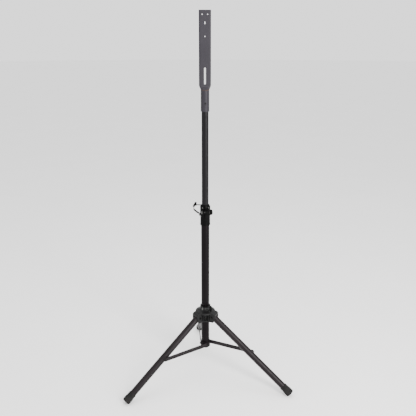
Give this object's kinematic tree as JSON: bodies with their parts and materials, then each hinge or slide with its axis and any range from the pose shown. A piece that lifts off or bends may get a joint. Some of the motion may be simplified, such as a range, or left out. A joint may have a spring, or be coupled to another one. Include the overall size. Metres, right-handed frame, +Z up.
{
  "type": "speaker stand",
  "caption": "Folding black tripod stand for a loudspeaker, with a telescopic pole, clamp, locking pin and a flattened drilled mounting head.",
  "frame": {"origin": "on the floor, at the middle of the box round the whole stand; the pole's axis is at x = 0, y = -121.4 mm", "axes": "+Z up along the pole, -Y the way the drilled head faces, +Y towards the rear leg"},
  "size_m": [0.8908, 0.7768, 1.937],
  "materials": {
    "black_coat": "satin black powder coat on steel tube",
    "grey_coat": "satin charcoal powder coat on pressed steel tube",
    "black_plastic": "glass-filled nylon with a fine moulded grain",
    "grey_plastic": "smooth acetal liner",
    "black_rubber": "matt moulded rubber",
    "bright_steel": "zinc-plated",
    "dark_steel": "black oxide"
  },
  "bodies": {
    "column": {"column": "black_coat", "column_plug": "black_plastic", "clamp_housing": "black_plastic", "clamp_liner": "grey_plastic", "clamp_bolt": "bright_steel", "clamp_washer": "bright_steel", "clamp_rivet_1": "bright_steel", "clamp_rivet_2": "bright_steel", "lanyard": "black_rubber", "lanyard_screw": "bright_steel", "foot_collar": "black_coat", "collar_screw": "dark_steel", "strut_screw_1": "dark_steel", "strut_screw_2": "dark_steel", "strut_screw_3": "dark_steel"},
    "pole": {"upper_pole": "black_coat", "pole_guide": "grey_plastic"},
    "head": {"mounting_head": "grey_coat", "set_screw": "dark_steel"},
    "clamp_knob": {"clamp_knob": "black_plastic"},
    "pin": {"locking_pin": "bright_steel", "pin_handle": "black_plastic", "pin_ring": "bright_steel"},
    "hub": {"hub": "black_plastic", "hub_liner": "grey_plastic", "hub_bolt": "bright_steel", "hub_washer": "bright_steel", "leg_bolt_1": "dark_steel", "leg_bolt_2": "dark_steel", "leg_bolt_3": "dark_steel", "leg_nut_1": "dark_steel", "leg_nut_2": "dark_steel", "leg_nut_3": "dark_steel"},
    "hub_knob": {"hub_knob": "black_plastic"},
    "leg_1": {"leg_1": "black_coat", "strut_boss_1": "black_coat", "foot_1": "black_rubber"},
    "leg_2": {"leg_2": "black_coat", "strut_boss_2": "black_coat", "foot_2": "black_rubber"},
    "leg_3": {"leg_3": "black_coat", "strut_boss_3": "black_coat", "foot_3": "black_rubber"},
    "strut_1": {"strut_1": "black_coat", "strut_rivet_1": "dark_steel"},
    "strut_2": {"strut_2": "black_coat", "strut_rivet_2": "dark_steel"},
    "strut_3": {"strut_3": "black_coat", "strut_rivet_3": "dark_steel"}
  },
  "joints": [
    {"name": "pole_slide", "type": "slide", "parent": "column", "child": "pole", "axis": [0, 0, 1], "range_m": [-0.415, 0.24]},
    {"name": "head_swivel", "type": "hinge", "parent": "pole", "child": "head", "pos_m": [0, -0.12138, 1.5], "axis": [0, 0, 1], "continuous": true},
    {"name": "clamp_knob_turn", "type": "hinge", "parent": "column", "child": "clamp_knob", "pos_m": [0.0202, -0.15638, 0.96], "axis": [1, 0, 0], "range_deg": [0, 540]},
    {"name": "pin_pull", "type": "slide", "parent": "column", "child": "pin", "axis": [-0.9659, 0.2588, 0], "range_m": [0, 0.025]},
    {"name": "hub_slide", "type": "slide", "parent": "column", "child": "hub", "axis": [0, 0, 1], "range_m": [0, 0.365]},
    {"name": "hub_knob_turn", "type": "hinge", "parent": "hub", "child": "hub_knob", "pos_m": [0.0182, -0.15638, 0.418], "axis": [1, 0, 0], "range_deg": [0, 540]},
    {"name": "leg_fold_1", "type": "hinge", "parent": "hub", "child": "leg_1", "pos_m": [-0.03984, -0.14438, 0.365], "axis": [0.5, -0.866, 0], "range_deg": [0, 46.3]},
    {"name": "leg_fold_2", "type": "hinge", "parent": "hub", "child": "leg_2", "pos_m": [0.03984, -0.14438, 0.365], "axis": [0.5, 0.866, 0], "range_deg": [0, 46.3]},
    {"name": "leg_fold_3", "type": "hinge", "parent": "hub", "child": "leg_3", "pos_m": [0, -0.07538, 0.365], "axis": [-1, 0, 0], "range_deg": [0, 46.3]},
    {"name": "strut_fold_1", "type": "hinge", "parent": "column", "child": "strut_1", "pos_m": [0.01205, -0.14225, 0.1932], "axis": [-0.5, 0.866, 0], "range_deg": [0, 73.9]},
    {"name": "strut_fold_2", "type": "hinge", "parent": "column", "child": "strut_2", "pos_m": [0.01205, -0.10051, 0.1932], "axis": [-0.5, -0.866, 0], "range_deg": [0, 73.9]},
    {"name": "strut_fold_3", "type": "hinge", "parent": "column", "child": "strut_3", "pos_m": [-0.0241, -0.12138, 0.1932], "axis": [1, 0, 0], "range_deg": [0, 73.9]}
  ],
  "couplings": [
    {"joint": "leg_fold_1", "follows": "hub_slide", "rad_per_m": 2.2134},
    {"joint": "leg_fold_2", "follows": "hub_slide", "rad_per_m": 2.2134},
    {"joint": "leg_fold_3", "follows": "hub_slide", "rad_per_m": 2.2134},
    {"joint": "strut_fold_1", "follows": "hub_slide", "rad_per_m": 3.5332},
    {"joint": "strut_fold_2", "follows": "hub_slide", "rad_per_m": 3.5332},
    {"joint": "strut_fold_3", "follows": "hub_slide", "rad_per_m": 3.5332}
  ]
}
